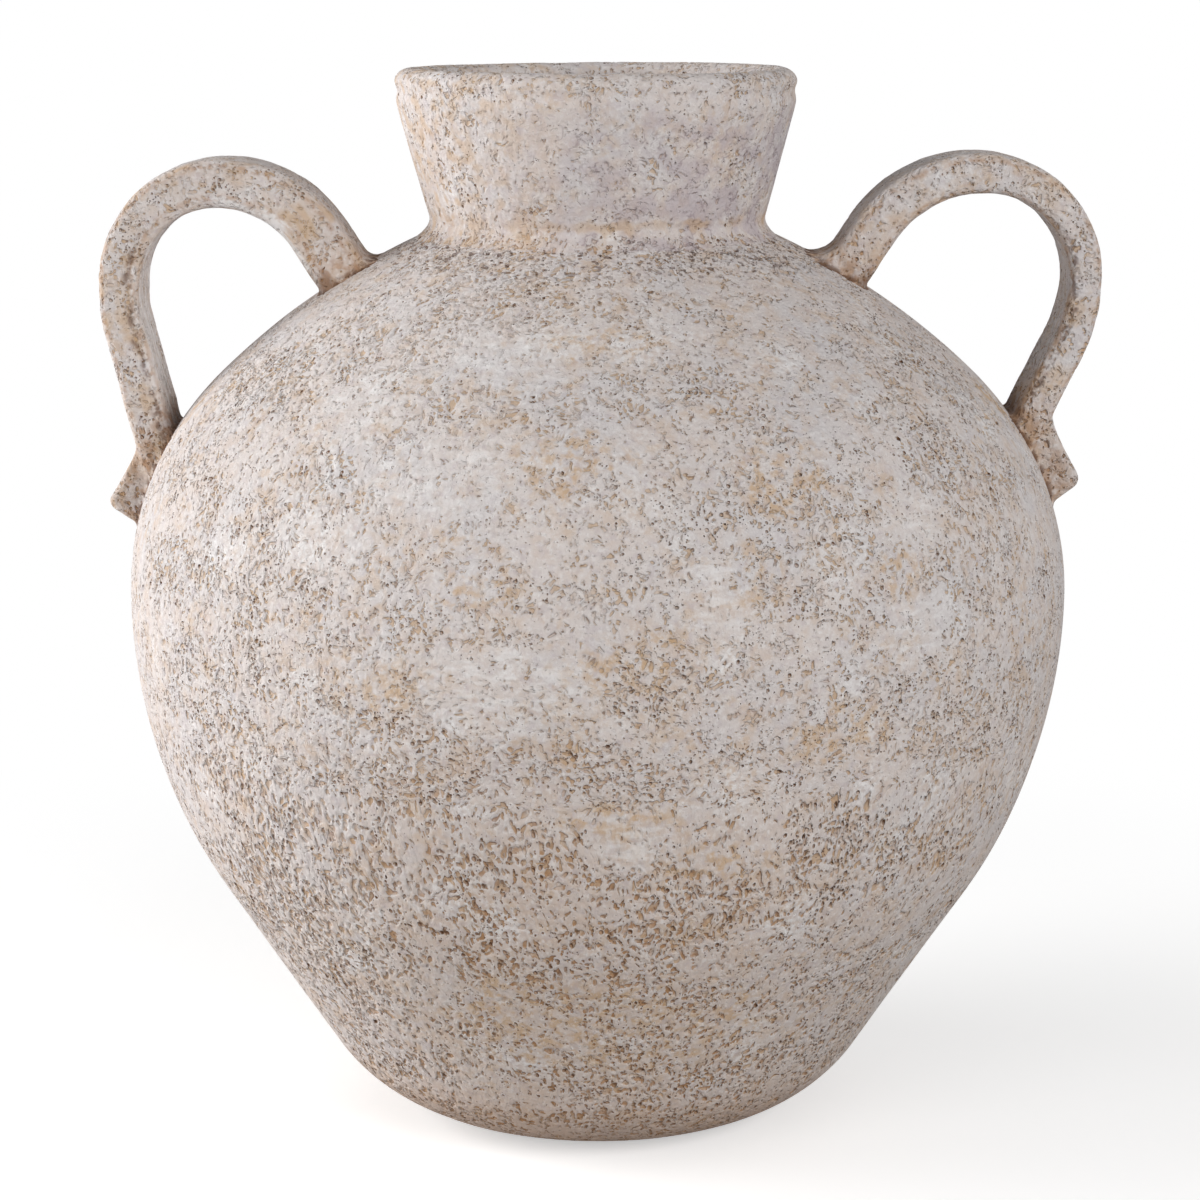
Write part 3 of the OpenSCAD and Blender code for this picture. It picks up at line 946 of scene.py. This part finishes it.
def make_root_coil():
    """The smeared coil in the corner between neck and shoulder, a hollow curve on the outside."""
    foot_r = NECK_R + COIL_SPREAD
    foot = np.array([foot_r, shoulder_z(foot_r)])
    head = np.array([neck_line(ROOT_Z + COIL_RISE), ROOT_Z + COIL_RISE])
    corner = [NECK_R + COIL_BEAD, ROOT_Z + COIL_BEAD]
    curve = bent(foot, corner, head, np.linspace(0, 1, 16))
    start = [foot + [COIL_SUNK, -COIL_SUNK]]
    back = [head + [-COIL_SUNK, COIL_SUNK], [NECK_R - 2 * COIL_SUNK, ROOT_Z - 2 * COIL_SUNK]]
    line = np.concatenate([start, even(curve, NECK_STEP), back])
    piece = carve(saddle(lathe("smeared_root_coil", [(line, NECK_AROUND, 0)])), neck_bare, neck_depth)
    shown(piece, "wiped_clay", ["neck_root_coil"], wiped_clay)


def body_gap(points):
    """Distance from the body's outside and the direction straight out of it, for points above the belly."""
    radius = np.linalg.norm(points[:, :2], axis=1)
    flat = np.stack([radius, points[:, 2]], -1)
    from_high, from_shoulder = flat - HIGH_C, flat - SHOULDER_C
    low = np.degrees(np.arctan2(from_high[:, 1], from_high[:, 0])) <= HIGH_TURN
    rel = np.where(low[:, None], from_high, from_shoulder)
    far = np.linalg.norm(rel, axis=1)
    out = rel / far[:, None]
    gap = far - np.where(low, HIGH_ARC_R, SHOULDER_ARC_R)
    around = points[:, :2] / radius[:, None]
    return gap, np.stack([out[:, 0] * around[:, 0], out[:, 0] * around[:, 1], out[:, 1]], -1)


def strap_path(crown, root_arc, lean, foot_t):
    """Stations along a strap's arcs: x, z, the degrees that its outer face looks, and its thickness."""
    rows = []

    def add(centre, radius, start, end, from_t, to_t):
        steps = max(2, int(abs(math.radians(end - start)) * radius / STRAP_STEP))
        for share in np.linspace(0, 1, steps + 1):
            a = start + (end - start) * share
            rows.append([*(centre + radius * turned(a)), a, from_t + (to_t - from_t) * share])

    add(crown - [0, root_arc], root_arc, 90 + ROOT_TURN, 90, ROOT_T, STRAP_T)
    add(crown - [0, ARCH_R], ARCH_R, 90, 0, STRAP_T, LEG_T)
    add(crown + [ARCH_R - LEG_ARC_R, -ARCH_R], LEG_ARC_R, 0, -lean, LEG_T, foot_t)
    return np.array(rows)


def strap_section(thick, under, steps=7):
    """Rounded section of the strap, as points out of the loop and across; under thickens its inner side."""
    points = []
    for k, (out, back) in enumerate(((1, 1), (-1, 1), (-1, -1), (1, -1))):
        flat = thick / 2 - STRAP_EDGE + (under if out < 0 else 0)
        corner = [out * flat, back * (STRAP_W / 2 - STRAP_EDGE)]
        points.extend(arc(corner, STRAP_EDGE, 90 * k, 90 * (k + 1), steps))
    return np.array(points)


def into_wall(ring, way, steps=40):
    """Rings on from the last one, along a way in x and z until each point is well inside the body's wall."""
    direction = np.array([way[0], 0, way[1]])
    near, far = np.zeros(len(ring)), np.full(len(ring), SEAT_RUN)
    for _ in range(30):
        mid = (near + far) / 2
        outside = body_gap(ring + mid[:, None] * direction)[0] > -SEAT_DEPTH
        near, far = np.where(outside, mid, near), np.where(outside, far, mid)
    return [ring + near[:, None] * direction * share for share in np.linspace(0, 1, steps + 1)[1:]]


def strap_rings(path, lean, under):
    """All rings of a strap, from inside the wall at its root to inside the wall at its foot."""
    rings = []
    for x, z, a, thick in path:
        out = turned(a)
        section = strap_section(thick, under * min(1.0, 1 + a / lean))
        rings.append(np.stack([x + section[:, 0] * out[0], section[:, 1], z + section[:, 0] * out[1]], -1))
    root, foot = into_wall(rings[0], -turned(ROOT_TURN)), into_wall(rings[-1], turned(-90 - lean))
    return root[::-1] + rings + foot


def swept(rings):
    """Points, side faces and end faces of a closed tube through rings of one count."""
    rings = np.array(rings)
    n, m = rings.shape[:2]
    i, j = np.meshgrid(np.arange(n - 1), np.arange(m), indexing="ij")
    a, b = i * m + j, i * m + (j + 1) % m
    sides = np.stack([a, a + m, b + m, b], -1).reshape(-1, 4)
    ends = [np.arange(m)[None, :], ((n - 1) * m + np.arange(m))[None, ::-1]]
    return rings.reshape(-1, 3), sides, ends


def tail_outline(path, lean, foot_run):
    """Side view of the pinched tail, as x and z points."""
    leg = path[-1]
    down = turned(-90 - lean)
    face = leg[:2] + leg[3] / 2 * turned(-lean)
    rel = face - HIGH_C
    reach = rel @ down
    corner = face - (reach + math.sqrt(reach ** 2 - rel @ rel + HIGH_ARC_R ** 2)) * down
    angle = math.degrees(math.atan2(*(corner - HIGH_C)[::-1]))
    per_mm = math.degrees(1 / HIGH_ARC_R)
    foot_way = turned(angle - foot_run * per_mm)
    foot = HIGH_C + HIGH_ARC_R * foot_way
    tip_way = turned(angle - (foot_run - TAIL_LIFT) * per_mm)
    tip = HIGH_C + (HIGH_ARC_R + TAIL_OUT - TAIL_ROUND) * tip_way

    def touch(point, turn):
        """Degrees at which a line from a point meets the round tip."""
        to = point - tip
        return math.degrees(math.atan2(to[1], to[0]) + turn * math.acos(TAIL_ROUND / np.linalg.norm(to)))

    top = corner - TAIL_UP * down
    bend = top + TAIL_FLARE * TAIL_UP * down
    round_tip = arc(tip, TAIL_ROUND, touch(bend, -1), touch(foot, 1), 10)
    flare = bent(top, bend, round_tip[0], np.linspace(0, 1, 9)[:-1])
    inward = SEAT_DEPTH * foot_way
    back = [foot, foot - inward, corner + foot_run * down - inward]
    return np.concatenate([[top - TAIL_TUCK * turned(-lean)], flare, round_tip, back])


def tail_rings(outline):
    """The tail's side view repeated across its width, drawn in at both faces."""
    centre = outline.mean(axis=0)
    to = outline - centre
    far = np.linalg.norm(to, axis=1, keepdims=True)
    rings = []
    for y in np.linspace(-TAIL_W / 2, TAIL_W / 2, 27):
        edge = max(0.0, abs(y) - (TAIL_W / 2 - STRAP_EDGE)) / STRAP_EDGE
        inset = STRAP_EDGE * (1 - math.sqrt(max(0.0, 1 - edge ** 2)))
        flat = centre + to * np.maximum(0.1, 1 - inset / far)
        rings.append(np.stack([flat[:, 0], np.full(len(flat), y), flat[:, 1]], -1))
    return rings


def strap_places(points, path):
    """For each point the run along the strap, the place across it and the place out of it."""
    near = np.argmin(((points[:, None, [0, 2]] - path[None, :, :2]) ** 2).sum(2), axis=1)
    rel = points[:, [0, 2]] - path[near, :2]
    out = (rel * turned(path[near, 2])).sum(1)
    return np.stack([run_along(path[:, :2])[near], points[:, 1], out], -1)


def strap_lump(name, path, fit):
    """A strap and its tail as one rubbed lump, on the right."""
    points, sides, ends = swept(strap_rings(path, fit["lean"], fit["under"]))
    tail = tail_outline(path, fit["lean"], fit["foot_run"])
    tail_points, tail_sides, tail_ends = swept(tail_rings(tail))
    first = len(points)
    faces = [np.concatenate([sides, tail_sides + first]), *ends, *[end + first for end in tail_ends]]
    piece = mesh_piece(name, np.concatenate([points, tail_points]), faces)
    remesh = piece.modifiers.new("one_lump", "REMESH")
    remesh.mode = "VOXEL"
    remesh.voxel_size = STRAP_STEP * MM
    smooth = piece.modifiers.new("rubbed", "SMOOTH")
    smooth.factor = 0.5
    smooth.iterations = 9
    return taken(piece)


def smear_corners(mesh, root_z, web):
    """Places of a strap's points once clay is smeared into its corners with the wall, and how far the wall
    was. The fillet is wider by web towards the neck, above root_z."""
    co, normal = point_array(mesh, "co") / MM, point_array(mesh, "normal")
    gap, out = body_gap(co)
    side = normal - (normal * out).sum(1, keepdims=True) * out
    side /= np.maximum(np.linalg.norm(side, axis=1, keepdims=True), 1e-6)
    to_neck = np.clip(-side[:, 0], 0, 1) * (co[:, 2] > root_z)
    fillet = CORNER_FILLET + web * to_neck
    near = np.clip(1 - gap / fillet, 0, 1)
    return co + side * (fillet * (1 - np.sqrt(1 - near ** 2)))[:, None], gap


def make_handle(hand, fit):
    """A strap with its tail, made on the right and mirrored for the left."""
    nodes = [hand + "_handle", hand + "_root_wad", hand + "_tail"]
    low, high = box_mm(nodes[0])
    reach = max(-low[0], high[0])
    crown = np.array([reach - LEG_T / 2 - ARCH_R, high[2] - STRAP_T / 2])
    path = strap_path(crown, fit["root_arc"], fit["lean"], fit["foot_t"])
    piece = strap_lump(hand + "_strap", path, fit)
    mesh = piece.data
    co, gap = smear_corners(mesh, crown[1] - fit["root_arc"], fit["web"])
    run = strap_places(co, path)
    if hand == "left":
        co[:, 0] *= -1
        mesh.flip_normals()
    move_points(mesh, co)
    mesh.update()
    keep(mesh, PLACE, co)
    keep(mesh, RUN, run)
    keep(mesh, GAP, gap)
    keep(mesh, OUTWARD, point_array(mesh, "normal"))
    carve(piece, strap_bare, strap_depth)
    shown(piece, "strap_clay", nodes, strap_clay)


make_floor()
make_lower_wall()
make_shoulder_wall()
make_neck()
make_rim()
make_root_coil()
for hand, fit in STRAPS.items():
    make_handle(hand, fit)

# The studio, in metres: half the floor's width, and how far from the jar it starts and ends fading to white
FLOOR_HALF = 40.0
FADE_START, FADE_END = 0.22, 0.5

# Greys of the floor as it is seen and as it lights the jar, its glow, and the level of the world's light
FLOOR_PALE, FLOOR_DULL = (0.85, 0.85, 0.85, 1), (0.58, 0.58, 0.58, 1)
FLOOR_GLOW, WORLD_LEVEL = 0.45, 0.2

# Round soft lamps: place and width in metres, and power in watts
LAMPS = {
    "left_box": ((-1.7, 0.1, 0.55), 1.4, 34),
    "left_front_box": ((-1.2, -1.3, 0.5), 1.0, 7),
    "right_box": ((1.25, -1.35, 1.0), 1.0, 22),
}

# Camera: place in metres, degrees that it looks down, focal length and sensor in millimetres
CAMERA_AT = (0.00083, -1.0, 0.38)
CAMERA_TILT = 11.77
LENS, SENSOR = 90.33, 36.0


def seen_rays(tree):
    """1 for rays that show the background itself, 0 for those that only carry its light."""
    rays = Wire.node(tree, "ShaderNodeLightPath", {}, {}, "Is Camera Ray")
    return rays.most(rays.also("Is Glossy Ray")).most(rays.also("Is Transmission Ray"))


def floor_material():
    """Pale with the jar's shadow where it is seen, white further off, dull where it only carries light."""
    material = bpy.data.materials.new("studio_floor")
    material.use_nodes = True
    tree = material.node_tree
    tree.nodes.remove(tree.nodes["Principled BSDF"])
    pale, dull = [Wire.node(tree, "ShaderNodeBsdfDiffuse", {}, {"Color": grey})
                  for grey in (FLOOR_PALE, FLOOR_DULL)]
    glow, white = [Wire.node(tree, "ShaderNodeEmission", {}, {"Strength": s}) for s in (FLOOR_GLOW, 1.0)]
    lit = Wire.node(tree, "ShaderNodeAddShader", {}, {0: pale, 1: glow})
    place = Wire.node(tree, "ShaderNodeNewGeometry", {}, {}, "Position")
    far = place.length().ramp(FADE_START, FADE_END)
    faded = Wire.node(tree, "ShaderNodeMixShader", {}, {0: far, 1: lit, 2: white})
    mixed = Wire.node(tree, "ShaderNodeMixShader", {}, {0: seen_rays(tree), 1: dull, 2: faded})
    tree.links.new(mixed.socket, tree.nodes["Material Output"].inputs["Surface"])
    return material


def make_stage():
    """A wide pale floor that fades to white away from the jar and keeps its shadow."""
    corners = np.array([(-1, -1, 0), (1, -1, 0), (1, 1, 0), (-1, 1, 0)]) * FLOOR_HALF / MM
    floor = mesh_piece("studio_floor", corners, [np.arange(4)[None]])
    floor.data.materials.append(floor_material())


def make_world():
    """Soft light from all round, and a white background where it is seen."""
    world = bpy.data.worlds.new("studio")
    bpy.context.scene.world = world
    world.use_nodes = True
    tree = world.node_tree
    back = tree.nodes["Background"]
    back.inputs["Color"].default_value = (1, 1, 1, 1)
    level = WORLD_LEVEL + (1 - WORLD_LEVEL) * seen_rays(tree)
    tree.links.new(level.socket, back.inputs["Strength"])


def make_lamp(name, place, size, power):
    """A round soft lamp that looks at the middle of the jar."""
    lamp = bpy.data.lights.new(name, "AREA")
    lamp.shape = "DISK"
    lamp.size = size
    lamp.energy = power
    holder = new_object(name, lamp)
    holder.location = place
    middle = Vector((0, 0, JAR_H * MM / 2))
    holder.rotation_euler = (middle - holder.location).to_track_quat("-Z", "Y").to_euler()


def make_camera():
    """A camera in front of the jar that looks down on it a little."""
    camera = bpy.data.cameras.new("camera")
    camera.lens = LENS
    camera.sensor_width = SENSOR
    holder = new_object("camera", camera)
    holder.location = CAMERA_AT
    holder.rotation_euler = (math.radians(90 - CAMERA_TILT), 0, 0)
    bpy.context.scene.camera = holder


make_stage()
make_world()
for lamp, lamp_fit in LAMPS.items():
    make_lamp(lamp, *lamp_fit)
make_camera()
bpy.context.scene.view_settings.view_transform = "Standard"
